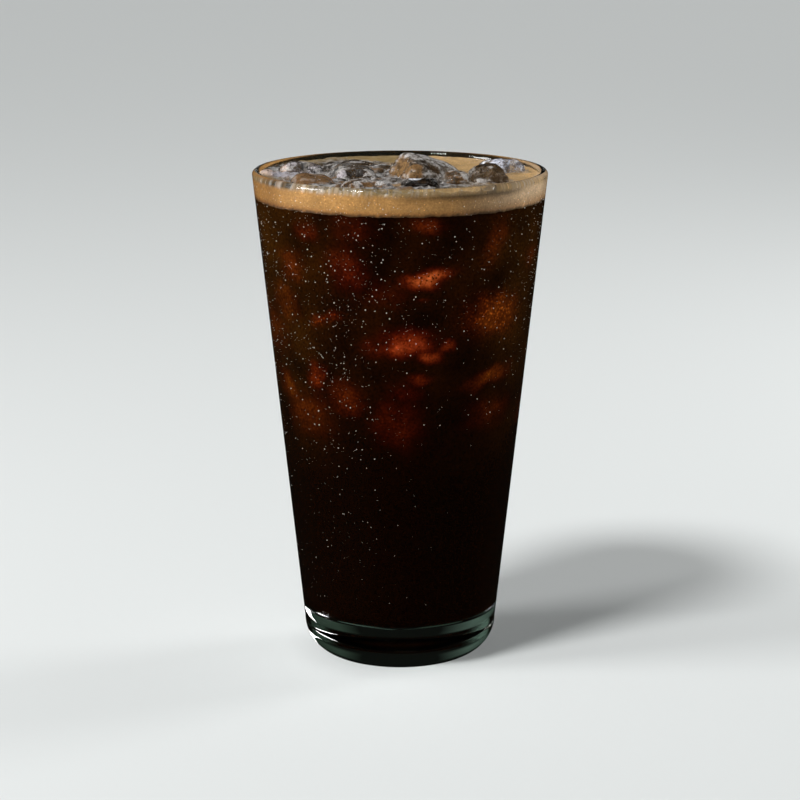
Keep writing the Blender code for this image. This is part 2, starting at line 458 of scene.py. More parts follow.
def make_coffee():
    """The coffee, with the glow painted on its skin from the ice behind it stored for every point of it."""
    corner_height = FLOOR_HEIGHT + FLOOR_CORNER
    corner_radius = inner_radius(corner_height)
    room = FLOOR_CORNER + REACH
    lowest = FLOOR_HEIGHT - FLOOR_DISH - REACH
    outline = [(0, lowest)] + [(corner_radius * 0.2 * k, lowest) for k in range(1, 4)]
    outline += arc((corner_radius - FLOOR_CORNER, corner_height), room, room, -90, 0, 12)
    heights = np.linspace(corner_height, COFFEE_TOP, SKIN_UP)[1:]
    outline += [(inner_radius(h) + REACH * 0.8, h) for h in heights]
    top_radius = outline[-1][0]
    outline += [(top_radius * k / 8, COFFEE_TOP) for k in range(7, -1, -1)]
    points, faces = turned(outline, SKIN_AROUND)
    coffee = mesh_object("black_coffee", points, faces, coffee_material(), 80)

    places = np.array(points)
    azimuth = np.arctan2(places[:, 0], -places[:, 1])
    height = places[:, 2] / MM
    rough = np.array([layered_noise(p, 4 * MM, 4) for p in points])
    haze = np.array([layered_noise(p, 14 * MM, 2) for p in points])
    warp = np.array([(layered_noise(p, 7 * MM, 2), layered_noise(p[::-1], 7 * MM, 2)) for p in points])
    depth, bubbles, olive = coffee_before_ice(azimuth, height, WARP * warp)
    depth = np.maximum(depth + ROUGH * rough, THINNEST)
    # Where the painted olive sheen shows: towards the viewer's left and right.
    side = smooth_step(np.abs(np.sin(azimuth)), *SHEEN_SIDES)
    colours = coffee_with_painted_glow(depth, height, np.clip(0.5 + haze, 0, 1), olive, side)
    inside = np.hypot(places[:, 0], places[:, 1]) < top_radius * 0.99
    colours[inside & (places[:, 2] > COFFEE_TOP - 0.01 * MM), :3] = UNDER_FOAM
    # Paint the cards' grey-green reflection on the far lower edge of the coffee.
    for tint, start, full in CORNER_PAINTED_REFLECTIONS:
        share = smooth_step(places[:, 0] * np.sign(full), abs(start), abs(full)) * (places[:, 1] > 0)
        share *= 1 - smooth_step(places[:, 2], *CORNER_HEIGHTS)
        share *= 1 - smooth_step(np.abs(places[:, 0]), *CORNER_WIDTHS)
        colours[:, :3] += share[:, None] * (np.array(tint) - colours[:, :3])
    add_layer(coffee, "seen", colours)
    add_layer(coffee, "bubbles", bubbles, "FLOAT")
    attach(coffee, "root")
    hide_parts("coffee")
    return coffee


# The ice that stands out of the foam

ICE_ROUNDS = 3
ICE_SWELL = 0.15 * MM
ICE_WAVES = 0.45 * MM
WAVE_SIZE = 7 * MM
ICE_CREASES = 0.12 * MM
CREASE_SIZE = 7.5 * MM
CREASE_POWER = 5
CREASE_COVER = 0.8
WASH_SIZE = 3.0 * MM
CONVEX_ROUNDS = 14
CONVEX_FULL = 0.22 * MM

# Flat layers of dark and frosted ice that show as streaks, and the pieces that have fewer
STREAK_SIZE = 5.0 * MM
STREAK_FLATNESS = 4.0
STREAK_COVER = 0.75
FEWER_STREAKS = {"ice_front_low": 0.15, "ice_front_left": 0.25}
STREAK_CLOUDS = 0.9
DARK_STREAKS = (0.06, 0.26)
FROST_STREAKS = (0.16, 0.36)

FROST = (0.50, 0.475, 0.455)
SMOKE = (0.24, 0.215, 0.19)
LAVENDER = (0.45, 0.415, 0.43)
CREAM = (0.66, 0.50, 0.42)
# The white of the painted highlights on the ice.
HIGHLIGHT_WHITE = (0.84, 0.85, 0.90)
TAN = (0.215, 0.124, 0.054)
BROWN = (0.19, 0.105, 0.048)
UMBER = (0.060, 0.036, 0.018)
BLACK = (0.006, 0.004, 0.003)
ICY = (0.50, 0.52, 0.60)

# What clouds each piece: the colour and cover of its faces, the same of its edges and cracks, whose pale
# frost is partly painted highlight, and of the faces that point one way.
ICE_LOOKS = {
    "ice_centre": (SMOKE, 0.45, FROST, 0.92, (-0.75, -0.65, 0.0), TAN, 0.97),
    "ice_left": (LAVENDER, 0.55, FROST, 0.92, (-0.9, -0.45, 0.0), CREAM, 0.97),
    "ice_mid_left": (SMOKE, 0.50, FROST, 0.92, (0.0, -0.9, 0.3), UMBER, 0.45),
    "ice_front_left": (BROWN, 0.94, UMBER, 0.90, (0.0, -1.0, 0.0), BROWN, 0.97),
    "ice_front": (BROWN, 0.60, FROST, 0.88, (0.8, 0.0, 0.6), FROST, 0.60),
    "ice_front_low": (BLACK, 0.75, BLACK, 0.80, (0.0, -1.0, 0.1), BLACK, 0.97),
    "ice_back": (UMBER, 0.45, FROST, 0.70, (0.0, -1.0, 0.0), SMOKE, 0.45),
    "ice_chip": (SMOKE, 0.40, FROST, 0.90, (0.0, -0.8, 0.6), BROWN, 0.50),
    "ice_right": (UMBER, 0.60, SMOKE, 0.60, (0.0, -1.0, 0.0), UMBER, 0.90),
    # Its blue-white faces and white edges are partly painted sparkle.
    "ice_far_right": (ICY, 0.38, HIGHLIGHT_WHITE, 0.80, (-1.0, 0.0, 0.0), UMBER, 0.60),
}

# Hollows melted into the ice and patches that cloud it, as middle, radius and depth in millimetres, then the
# colour and the cover
HOLLOWS = {
    "ice_centre": [
        ((16.0, -5.0, 151.6), 5.5, 2.6, SMOKE, 0.5),
        ((10.4, -6.0, 151.0), 3.0, 1.0, UMBER, 0.8),
        ((-1.5, -5.0, 152.5), 6.0, 1.0, TAN, 0.86),
        ((4.0, -9.5, 150.6), 4.2, 0, TAN, 0.86),
        ((-2.5, -3.0, 149.4), 4.2, 0, TAN, 0.86),
        ((7.0, 2.6, 154.0), 3.2, 0, FROST, 0.9),
        ((11.0, 4.4, 152.6), 3.4, 0, FROST, 0.9),
        ((15.6, 3.0, 150.2), 3.2, 0, FROST, 0.85),
    ],
    "ice_right": [
        ((24.0, -16.0, 151.5), 3.4, 1.3, UMBER, 0.6),
        ((29.5, -14.0, 151.0), 3.0, 1.2, UMBER, 0.8),
        ((28.0, -11.0, 152.8), 3.0, 0, UMBER, 0.7),
        ((21.0, -12.0, 150.8), 2.6, 0, SMOKE, 0.6),
    ],
    "ice_left": [((-28.0, 2.0, 151.5), 4.0, 1.2, SMOKE, 0.5)],
    "ice_mid_left": [
        ((-13.0, -8.0, 151.0), 4.5, 1.4, UMBER, 0.5),
        ((-17.5, -8.0, 149.4), 2.2, 0, LAVENDER, 0.9),
    ],
    "ice_front": [
        ((-8.0, -28.0, 150.0), 4.0, 1.0, BROWN, 0.85),
        ((-5.0, -26.0, 149.4), 2.6, 0, FROST, 0.8),
    ],
    # A painted highlight along the top edge of the dark piece.
    "ice_front_low": [((4.4, -21.6, 150.2), 2.3, 0, HIGHLIGHT_WHITE, 0.75)],
    "ice_far_right": [((28.5, 1.5, 152.0), 3.2, 1.2, ICY, 0.6)],
}


def ice_material():
    """Clear ice, clouded by frost and by painted highlights where its cover says so: at half cover, in
    patches and specks.
    """
    material, tree, shader = new_material("wet_ice")
    frost_and_highlight = node(tree, "ShaderNodeAttribute", attribute_name="frost_and_highlight")
    patch = placed(tree, "ShaderNodeTexNoise", Scale=330.0, Detail=5.0, Roughness=0.7).outputs["Fac"]
    speck = placed(tree, "ShaderNodeTexNoise", Scale=1500.0, Detail=2.0, Roughness=0.7).outputs["Fac"]
    patchy = mapped(tree, patch, 0.38, 0.58, -0.75, 0.60)
    speckled = mapped(tree, speck, 0.36, 0.64, -0.50, 0.45)
    wholly = frost_and_highlight.outputs["Alpha"]
    partly = product(tree, wholly, calculated(tree, "MULTIPLY_ADD", wholly, -4.0, 4.0))
    cover = calculated(tree, "MULTIPLY_ADD", calculated(tree, "ADD", patchy, speckled), partly, wholly)
    clamped = mapped(tree, cover, 0.0, 1.0, 0.0, 1.0)
    shader.inputs["Base Color"].default_value = (0.97, 0.98, 0.99, 1)
    shader.inputs["Roughness"].default_value = 0.03
    shader.inputs["IOR"].default_value = 1.31
    shader.inputs["Transmission Weight"].default_value = 1.0
    frost = node(tree, "ShaderNodeBsdfPrincipled", Roughness=0.10, IOR=1.4)
    frost.inputs["Subsurface Weight"].default_value = 0.75
    frost.inputs["Subsurface Radius"].default_value = (1.0, 0.95, 0.9)
    frost.inputs["Subsurface Scale"].default_value = 0.0016
    bump = node(tree, "ShaderNodeBump", Strength=0.7, Distance=0.0005)
    tree.links.new(patch, bump.inputs["Height"])
    tree.links.new(bump.outputs["Normal"], frost.inputs["Normal"])
    shade = mapped(tree, speck, 0.36, 0.64, 0.75, 1.20)
    tree.links.new(scaled_colour(tree, frost_and_highlight.outputs["Color"], shade), frost.inputs["Base Color"])
    mixed = mixed_shader(tree, clamped, shader.outputs[0], frost.outputs[0])
    see_through_for_lamps(tree, mixed, (0.7, 0.7, 0.7))
    return material


def convexity(points, normals, edges):
    """How far each point stands out of the neighbourhood, in metres: the edges of a block stand out most."""
    even = points.copy()
    count = np.bincount(edges.ravel(), minlength=len(points))[:, None]
    for _ in range(CONVEX_ROUNDS):
        total = np.zeros_like(even)
        np.add.at(total, edges[:, 0], even[edges[:, 1]])
        np.add.at(total, edges[:, 1], even[edges[:, 0]])
        even = 0.5 * even + 0.5 * total / count
    return ((points - even) * normals).sum(axis=1)


def creases(points):
    """1 along thin lines that wander over a piece of ice, and 0 away from them."""
    away = np.array([abs(layered_noise((p[1], p[2], p[0]), CREASE_SIZE, 2)) for p in points])
    return np.clip(1 - away, 0, 1) ** CREASE_POWER


def frost_and_highlight_of(name, points, normals, edges):
    """Colour and cover of the frost and of the painted highlights at every point of a piece of ice."""
    face, face_cover, edge, edge_cover, way, way_colour, way_cover = ICE_LOOKS[name]
    wash = np.array([layered_noise(p, WASH_SIZE, 4) for p in points])
    flat = points * (1, 1, STREAK_FLATNESS)
    layers = np.array([layered_noise(p, STREAK_SIZE, 3) for p in flat])
    stands_out = convexity(points, normals, edges)
    lines = CREASE_COVER * creases(points) * smooth_step(normals[:, 2], -0.1, 0.4)
    # Edges and crease lines take the edge colour, whose pale frost is partly painted highlight.
    edge_frost_and_highlight = smooth_step(stands_out / CONVEX_FULL + lines + 0.9 * wash, 0.75, 1.35)[:, None]
    faces_way = smooth_step(normals @ np.array(way) + 0.25 * wash, 0.35, 0.75)[:, None]
    frost_and_highlight = towards((*face, face_cover), (*way_colour, way_cover), faces_way)
    cover = frost_and_highlight[:, 3]
    frost_and_highlight[:, 3] = np.clip(cover + 1.6 * wash * cover * (1 - cover), 0, 1)
    frost_and_highlight = towards(frost_and_highlight, (*edge, edge_cover), edge_frost_and_highlight)
    streaked = FEWER_STREAKS.get(name, STREAK_COVER)
    dark, frosted = smooth_step(layers, *DARK_STREAKS), smooth_step(-layers, *FROST_STREAKS)
    frost_and_highlight = towards(frost_and_highlight, (*UMBER, STREAK_CLOUDS), streaked * dark[:, None])
    frost_and_highlight = towards(frost_and_highlight, (*FROST, STREAK_CLOUDS), streaked * frosted[:, None])
    for middle, radius, _, patch_colour, patch_cover in HOLLOWS.get(name, []):
        far = np.linalg.norm(points / MM - np.array(middle), axis=1) / radius
        share = smooth_step(1 - far + 0.35 * wash, 0.1, 0.4)[:, None]
        frost_and_highlight = towards(frost_and_highlight, (*patch_colour, patch_cover), share)
    return frost_and_highlight


def make_ice(name, material):
    """A finer copy of the solid, with the waves and hollows that melting leaves."""
    shape = bmesh.new()
    shape.from_mesh(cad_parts[name].data)
    bmesh.ops.remove_doubles(shape, verts=shape.verts, dist=0.01 * MM)
    mesh = bpy.data.meshes.new(name)
    shape.to_mesh(mesh)
    shape.free()
    mesh.materials.clear()
    mesh.materials.append(material)
    piece = bpy.data.objects.new(name.replace("ice_", "melting_ice_"), mesh)
    bpy.context.scene.collection.objects.link(piece)
    finer = piece.modifiers.new("finer", "SUBSURF")
    finer.levels = finer.render_levels = ICE_ROUNDS
    bpy.context.view_layer.update()
    fine = bpy.data.meshes.new_from_object(piece.evaluated_get(bpy.context.evaluated_depsgraph_get()))
    piece.modifiers.clear()
    piece.data = fine

    points = np.array([v.co for v in fine.vertices])
    normals = np.array([v.normal for v in fine.vertices])
    edges = np.array([e.vertices for e in fine.edges])
    waves = np.array([layered_noise(p, WAVE_SIZE, 2) for p in points])
    out = ICE_SWELL + ICE_WAVES * waves + ICE_CREASES * creases(points)
    for middle, radius, depth, _, _ in HOLLOWS.get(name, []):
        far = np.linalg.norm(points / MM - np.array(middle), axis=1) / radius
        out -= depth * MM * smooth_step(1 - far, 0.0, 0.75)
    points += normals * out[:, None]
    fine.vertices.foreach_set("co", points.ravel())
    fine.update()
    fine.shade_smooth()
    normals = np.array([v.normal for v in fine.vertices])
    add_layer(piece, "frost_and_highlight", frost_and_highlight_of(name, points, normals, edges))
    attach(piece, "root")
    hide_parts(name)
    return piece


def tree_of(pieces):
    """One search tree over all the faces of the pieces."""
    points, faces = [], []
    for piece in pieces:
        start = len(points)
        points += [v.co.copy() for v in piece.data.vertices]
        faces += [tuple(start + k for k in p.vertices) for p in piece.data.polygons]
    return BVHTree.FromPolygons(points, faces)


# The foam

FOAM_AROUND = 460
FOAM_RINGS = 130
SIDE_ROWS = 12
FOAM_RELIEF, FOAM_LUMP = 0.35 * MM, 6 * MM
FROTH_RELIEF, FROTH_LUMP = 0.55 * MM, 2.2 * MM
RAGGED_FOOT, RAGGED_SIZE = 0.30 * MM, 2.6 * MM
FOOT_OVERLAP = 0.1 * MM
WALL_CLIMB, WALL_REACH = 0.5 * MM, 1.6 * MM
ICE_CLIMB, ICE_REACH = 0.45 * MM, 1.0 * MM
FROTH_REACH = 11 * MM
WELL_DEPTH = 6.5 * MM
WELL_SIDE = 0.5 * MM

# The colours of its top: whole foam at the viewer's left and right and at the wall, where it is pale with
# froth and painted highlight, foam that is broken up into dark and pale froth with brown patches, and the
# coffee in the gap and in the wells under the ice
TOP_LEFT = (0.27, 0.185, 0.080)
TOP_RIGHT = (0.50, 0.315, 0.140)
TOP_EDGE = (0.50, 0.42, 0.34)
FROTH_DARK = (0.026, 0.017, 0.010)
FROTH_PALE = (0.36, 0.345, 0.335)
FROTH_BROWN = (0.17, 0.10, 0.05)
COFFEE_IN_CRACK = (0.006, 0.004, 0.003)
COFFEE_IN_WELL = (0.012, 0.006, 0.003)

# The colours of its side: in most places, to the viewer's right, where it is paler with painted light from
# that side, and to the far left, how much less is seen low down, and the colours of its upper edge, partly
# painted highlight, and of its foot
SIDE_TAN = (0.400, 0.200, 0.058)
SIDE_LIT_GREY = (0.75, 0.51, 0.305)
SIDE_DEEP = (0.30, 0.140, 0.036)
SIDE_LOW = (0.63, 0.49, 0.34)
SIDE_EDGE = (0.27, 0.205, 0.145)
SIDE_FOOT = (0.030, 0.014, 0.005)

# A gap between the ice where dark coffee stands, from place to place on the foam in millimetres
CRACK = ((-15.5, -12.5), (-1.5, 18.0))
CRACK_WIDTH = 1.5 * MM
CRACK_DEPTH = 1.2 * MM
CRACK_RAGGED, CRACK_LUMP = 0.7 * MM, 2.5 * MM

# Patches of the foam, as place, radius, colour, cover and rise in millimetres
PATCHES = [
    ((-39.6, 0.6), 3.4, (0.62, 0.47, 0.40), 0.95, 1.1),
    ((-34.6, -1.0), 4.6, (0.42, 0.40, 0.45), 0.75, 0.5),
    ((-24.0, 1.0), 5.0, (0.30, 0.28, 0.27), 0.5, 0.2),
    ((-35.0, -13.0), 3.2, (0.15, 0.085, 0.040), 0.8, 0.2),
    ((0.0, -22.0), 4.0, (0.30, 0.19, 0.095), 0.85, 0.0),
    ((22.0, -28.0), 10.0, (0.13, 0.10, 0.07), 0.85, 0.0),
]


def foam_material():
    material, tree, shader = new_material("coffee_foam")
    tint = node(tree, "ShaderNodeAttribute", attribute_name="tint")
    grain = placed(tree, "ShaderNodeTexNoise", Scale=1500.0, Detail=3.0, Roughness=0.65)
    blotch = placed(tree, "ShaderNodeTexNoise", Scale=170.0, Detail=3.0, Roughness=0.55)
    cells = placed(tree, "ShaderNodeTexVoronoi", Scale=1500.0)
    # Painted sparkle: bright specks in the foam's colour stand in for glints on its bubbles.
    sparkle_cells = placed(tree, "ShaderNodeTexVoronoi", Scale=1150.0)
    grained = mapped(tree, grain.outputs["Fac"], 0.3, 0.7, 0.76, 1.26)
    blotched = mapped(tree, blotch.outputs["Fac"], 0.3, 0.7, 0.84, 1.14)
    here = calculated(tree, "GREATER_THAN", sparkle_cells.outputs["Color"], 0.56)
    painted_sparkle = product(tree, mapped(tree, sparkle_cells.outputs["Distance"], 0.08, 0.24, 1.3, 0.0), here)
    factor = product(tree, grained, blotched, calculated(tree, "ADD", painted_sparkle, 1.0))
    bump = node(tree, "ShaderNodeBump", Strength=0.35, Distance=0.00025)
    tree.links.new(scaled_colour(tree, tint.outputs["Color"], factor), shader.inputs["Base Color"])
    tree.links.new(cells.outputs["Distance"], bump.inputs["Height"])
    tree.links.new(bump.outputs["Normal"], shader.inputs["Normal"])
    shader.inputs["Roughness"].default_value = 0.4
    shader.inputs["Specular IOR Level"].default_value = 0.35
    return material


def ice_at(x, y, trees):
    """How far a place on the foam is from the nearest ice that rises through it, less than 0 within it."""
    level = Vector((x, y, FOAM_TOP))
    near = 1.0
    for tree in trees:
        place, normal, _, distance = tree.find_nearest(level)
        if (level - place).dot(normal) < 0:
            return -distance
        near = min(near, distance)
    return near


def in_crack(x, y):
    """1 in the middle of the dark gap, and 0 away from it."""
    start, end = (Vector(place) * MM for place in CRACK)
    along = end - start
    share = min(1, max(0, (Vector((x, y)) - start).dot(along) / along.length_squared))
    away = (Vector((x, y)) - start - along * share).length
    away += CRACK_RAGGED * layered_noise((x, y, 0.03), CRACK_LUMP, 3)
    return float(1 - smooth_step(away, CRACK_WIDTH * 0.5, CRACK_WIDTH))


def froth_share(x, y, side):
    """1 where the foam is broken up between the ice, and 0 where it lies whole, to the back and right."""
    whole = smooth_step(x + 0.6 * y, 2 * MM, 24 * MM)
    reach = FROTH_REACH * (1 - 0.75 * whole)
    return float((1 - smooth_step(side, 0.3 * reach, reach)) * (1 - 0.55 * whole))


def patch_share(x, y, place, radius):
    away = math.hypot(x / MM - place[0], y / MM - place[1]) / radius
    return float(smooth_step(1 - away + 0.4 * layered_noise((x, y, 0.13), 2.5 * MM, 3), 0.1, 0.5))


def foam_top(x, y, side, froth, crack):
    """Height of the foam's top: it climbs the wall and the ice, and drops away below the ice."""
    to_wall = inner_radius(FOAM_TOP) - math.hypot(x, y)
    height = FOAM_TOP + FOAM_RELIEF * layered_noise((x, y, 0), FOAM_LUMP, 4) - CRACK_DEPTH * crack
    height += froth * FROTH_RELIEF * layered_noise((x, y, 0.04), FROTH_LUMP, 3)
    height += WALL_CLIMB * math.exp(-to_wall / WALL_REACH)
    height += sum(rise * MM * patch_share(x, y, place, radius) for place, radius, _, _, rise in PATCHES)
    if side > 0:
        return height + ICE_CLIMB * math.exp(-side / ICE_REACH)
    return height + ICE_CLIMB - WELL_DEPTH * min(1.0, -side / WELL_SIDE)


def froth_and_highlight_at(azimuth):
    """How pale the foam's edge is: cream to the viewer's left and far right, tan elsewhere. The cream is
    partly froth and partly painted highlight, towards the lamps at the left and right.
    """
    return 0.15 + 0.85 * hump(azimuth, -75, -40, -5, 18) + 0.55 * hump(azimuth, 46, 58, 78, 100)


def top_tint(x, y, side, froth, crack):
    """The foam's top: darker to the viewer's left, pale at the wall with froth and painted highlight, and
    broken up between the ice.
    """
    azimuth = math.degrees(math.atan2(x, -y))
    wash = 0.5 + 0.5 * layered_noise((x, y, 0.01), 9 * MM, 3)
    right = smooth_step(x, -5 * MM, 25 * MM)
    tint = towards(TOP_LEFT, TOP_RIGHT, right) * (0.85 + 0.3 * wash)
    edge = math.exp(-(inner_radius(FOAM_TOP) - math.hypot(x, y)) / (0.9 * MM))
    speck = smooth_step(layered_noise((x, y, 0.11), 1.1 * MM, 2), -0.1, 0.5)
    tint = towards(tint, TOP_EDGE, edge * froth_and_highlight_at(azimuth) * speck)
    pale = smooth_step(layered_noise((x, y, 0.07), 2.6 * MM, 4), -0.40, 0.48)
    brown = smooth_step(layered_noise((x, y, 0.09), 5 * MM, 2), 0.1, 0.5)
    tint = towards(tint, towards(towards(FROTH_DARK, FROTH_PALE, pale), FROTH_BROWN, brown), froth)
    for place, radius, colour, cover, _ in PATCHES:
        tint = towards(tint, colour, cover * patch_share(x, y, place, radius))
    tint = towards(tint, COFFEE_IN_CRACK, crack)
    if side < 0:
        tint = towards(tint, COFFEE_IN_WELL, min(1.0, -side / WELL_SIDE))
    return tint


def side_tint(azimuth, share):
    """The band that shows through the glass: brown at its foot, greyer and paler to the viewer's right with
    painted light, and with painted shade right of the middle.
    """
    round_it = (math.sin(azimuth), math.cos(azimuth))
    warm = 0.5 + 0.5 * layered_noise((*round_it, share * 0.3), 0.6, 3)
    speck = smooth_step(layered_noise((*round_it, share * 0.1), 0.022, 2), -0.2, 0.5)
    degrees = math.degrees(azimuth)
    # Painted light from the lamp at the viewer's right.
    greyer = hump(degrees, 18, 62, 100, 140)
    middle = towards(SIDE_TAN, SIDE_LIT_GREY, greyer)
    middle = towards(middle, SIDE_DEEP, hump(degrees, -100, -75, -62, -46)) * (0.88 + 0.24 * warm)
    # Painted shade right of the middle.
    middle = middle * (1 - 0.24 * hump(degrees, 12, 34, 44, 60))
    tint = towards(middle * SIDE_LOW, middle, smooth_step(share, 0.0, 0.36 + 0.34 * greyer))
    # Painted shade on the upper edge, right of the middle.
    painted_top_shade = hump(degrees, -12, 24, 46, 64) * smooth_step(share, 0.62, 0.98)
    # The cream top edge, partly froth and partly painted highlight.
    cream = smooth_step(share + 0.06 * warm, 0.90, 1.04) * froth_and_highlight_at(degrees) * speck
    tint = towards(tint * (1 - 0.7 * painted_top_shade), SIDE_EDGE, cream)
    return towards(tint, SIDE_FOOT, 1 - smooth_step(share + 0.05 * speck, 0.03, 0.16))


def make_foam(trees):
    """One skin of foam: rows up its side and rings over its top, with wells where the ice stands."""
    turns = np.arange(FOAM_AROUND) * 2 * math.pi / FOAM_AROUND
    edge = inner_radius(FOAM_TOP) + REACH
    points, tints = [], []
    for row in range(SIDE_ROWS):
        share = row / SIDE_ROWS
        for a in turns:
            lump = layered_noise((math.cos(a) * edge, math.sin(a) * edge, 0), RAGGED_SIZE, 4)
            ragged = RAGGED_FOOT * (1 + lump)
            height = COFFEE_TOP - FOOT_OVERLAP + (FOAM_TOP - COFFEE_TOP) * share - ragged * (1 - share)
            radius = inner_radius(height) + REACH
            points.append((radius * math.cos(a), radius * math.sin(a), height))
            tints.append(side_tint(math.atan2(math.cos(a), -math.sin(a)), share))
    for ring in range(FOAM_RINGS):
        radius = edge * (1 - ring / FOAM_RINGS)
        for a in turns:
            x, y = radius * math.cos(a), radius * math.sin(a)
            side = ice_at(x, y, trees)
            froth = froth_share(x, y, side)
            crack = in_crack(x, y)
            points.append((x, y, foam_top(x, y, side, froth, crack)))
            tints.append(top_tint(x, y, side, froth, crack))
    points += [(0, 0, FOAM_TOP), (0, 0, FOAM_BOTTOM + 1.0 * MM)]
    tints += [tints[-1], tints[0]]
    rings = SIDE_ROWS + FOAM_RINGS
    faces = []
    for ring in range(rings - 1):
        faces += band(ring * FOAM_AROUND, (ring + 1) * FOAM_AROUND, FOAM_AROUND)
    faces += fan(len(points) - 2, (rings - 1) * FOAM_AROUND, FOAM_AROUND, True)
    faces += fan(len(points) - 1, 0, FOAM_AROUND, False)
    foam = mesh_object("coffee_foam", points, faces, foam_material(), 80)
    add_layer(foam, "tint", np.concatenate([np.array(tints), np.ones((len(tints), 1))], axis=1))
    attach(foam, "root")
    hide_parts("foam")
    return foam


# Small round things: froth on the foam and ice, and drops on the glass

def dome(sides, rings):
    """Points and faces of a closed half ball of radius 1 that stands on z = 0, its foot a little below."""
    turns = 2 * math.pi * np.arange(sides) / sides
    points = [(math.cos(a), math.sin(a), -0.25) for a in turns]
    for ring in range(rings):
        lift = math.pi / 2 * (ring + 0.35) / rings
        width, turned_by = math.cos(lift), math.pi / sides * (ring % 2)
        points += [(width * math.cos(a), width * math.sin(a), math.sin(lift)) for a in turns + turned_by]
    points.append((0, 0, 1))
    faces = [tuple(range(sides - 1, -1, -1))]
    for ring in range(rings):
        faces += band(ring * sides, (ring + 1) * sides, sides)
    faces += fan(len(points) - 1, rings * sides, sides, True)
    return np.array(points), faces


def scatter(name, places, normals, sizes, flatness, shape, material):
    """One mesh of many domes, each turned to its surface's normal."""
    dome_points, dome_faces = shape
    up = normals / np.linalg.norm(normals, axis=1, keepdims=True)
    side = np.cross(up, np.where(np.abs(up[:, 2:3]) < 0.9, [[0, 0, 1.0]], [[1.0, 0, 0]]))
    side /= np.linalg.norm(side, axis=1, keepdims=True)
    other = np.cross(up, side)
    scaled = dome_points[None] * sizes[:, None, None]
    points = (
        places[:, None]
        + scaled[..., 0:1] * side[:, None]
        + scaled[..., 1:2] * other[:, None]
        + scaled[..., 2:3] * flatness * up[:, None]
    ).reshape(-1, 3)
    count = len(dome_points)
    faces = [tuple(k + i * count for k in face) for i in range(len(places)) for face in dome_faces]
    made = mesh_object(name, points, faces, material, 80)
    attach(made, "root")
    return made


# The drops are pale and opaque: their colour is a painted glint that stands in for the shine of clear water.
def drop_glint_material():
    material, _, shader = new_material("fine_drops")
    shader.inputs["Base Color"].default_value = (0.85, 0.82, 0.78, 1)
    shader.inputs["Roughness"].default_value = 0.12
    shader.inputs["IOR"].default_value = 1.33
    return material


def froth_material():
    material, tree, shader = new_material("froth")
    wash = placed(tree, "ShaderNodeTexNoise", Scale=600.0, Detail=2.0)
    share = mapped(tree, wash.outputs["Fac"], 0.38, 0.62, 0.0, 1.0)
    colour = mixed_colour(tree, share, (0.12, 0.09, 0.065), (0.50, 0.47, 0.44))
    tree.links.new(colour, shader.inputs["Base Color"])
    shader.inputs["Roughness"].default_value = 0.1
    shader.inputs["IOR"].default_value = 1.33
    return material


# The drops on the glass: how many, between which heights, and their radius as the least, what chance adds
# and the power that keeps most of them small, in millimetres
DROPS = 4500
LOWEST_DROP = 22
HIGHEST_DROP = 146.5
DROP_LEAST, DROP_MORE, DROP_POWER = 0.042, 0.13, 4.2
DROP_FLATNESS = 0.6

# The bubbles of the froth in the same way
FROTH = 5400
FROTH_LEAST, FROTH_MORE, FROTH_POWER = 0.05, 0.17, 2.5
FROTH_FLATNESS = 0.85


def drops_wanted(azimuth, height):
    """How many drops a place has, from 0 to 1: many high up and to the left, none low on the right."""
    high = smooth_step(height, 46, 134)
    left = 0.24 + 0.76 * high
    right = high ** 2.2
    rightness = hump(azimuth, -14, 30, 140, 175)
    far_left, middle = hump(-azimuth, 28, 55, 80, 110), hump(azimuth, -34, -14, 40, 60)
    share = 0.54 + 0.21 * (1 - rightness) - 0.30 * far_left - 0.21 * middle
    return (left + (right - left) * rightness) * share


def make_drops():
    rng = np.random.default_rng(11)
    tries = DROPS * 6
    azimuth = rng.uniform(-180, 180, tries)
    height = rng.uniform(LOWEST_DROP, HIGHEST_DROP, tries)
    patchy = np.array([layered_noise((a * 0.01, h * 0.02, 0), 0.3, 2) for a, h in zip(azimuth, height)])
    patchy = np.clip(0.5 + 0.5 * patchy + 0.35, 0, 1)
    keep = rng.random(tries) < drops_wanted(azimuth, height) * patchy
    azimuth, height = np.radians(azimuth[keep][:DROPS]), height[keep][:DROPS] * MM
    radius = np.array([outer_radius(h) for h in height])
    lean = (RIM_RADIUS - BASE_RADIUS) / (GLASS_HEIGHT - HEEL_HEIGHT)
    places = np.stack([radius * np.sin(azimuth), -radius * np.cos(azimuth), height], axis=1)
    normals = np.stack([np.sin(azimuth), -np.cos(azimuth), np.full_like(azimuth, -lean)], axis=1)
    small = 0.72 + 0.28 * smooth_step(height / MM, 30, 125)
    sizes = (DROP_LEAST + DROP_MORE * rng.random(len(places)) ** DROP_POWER) * small * MM
    shape, finish = dome(6, 1), drop_glint_material()
    return scatter("fine_drops", places, normals, sizes, DROP_FLATNESS, shape, finish)


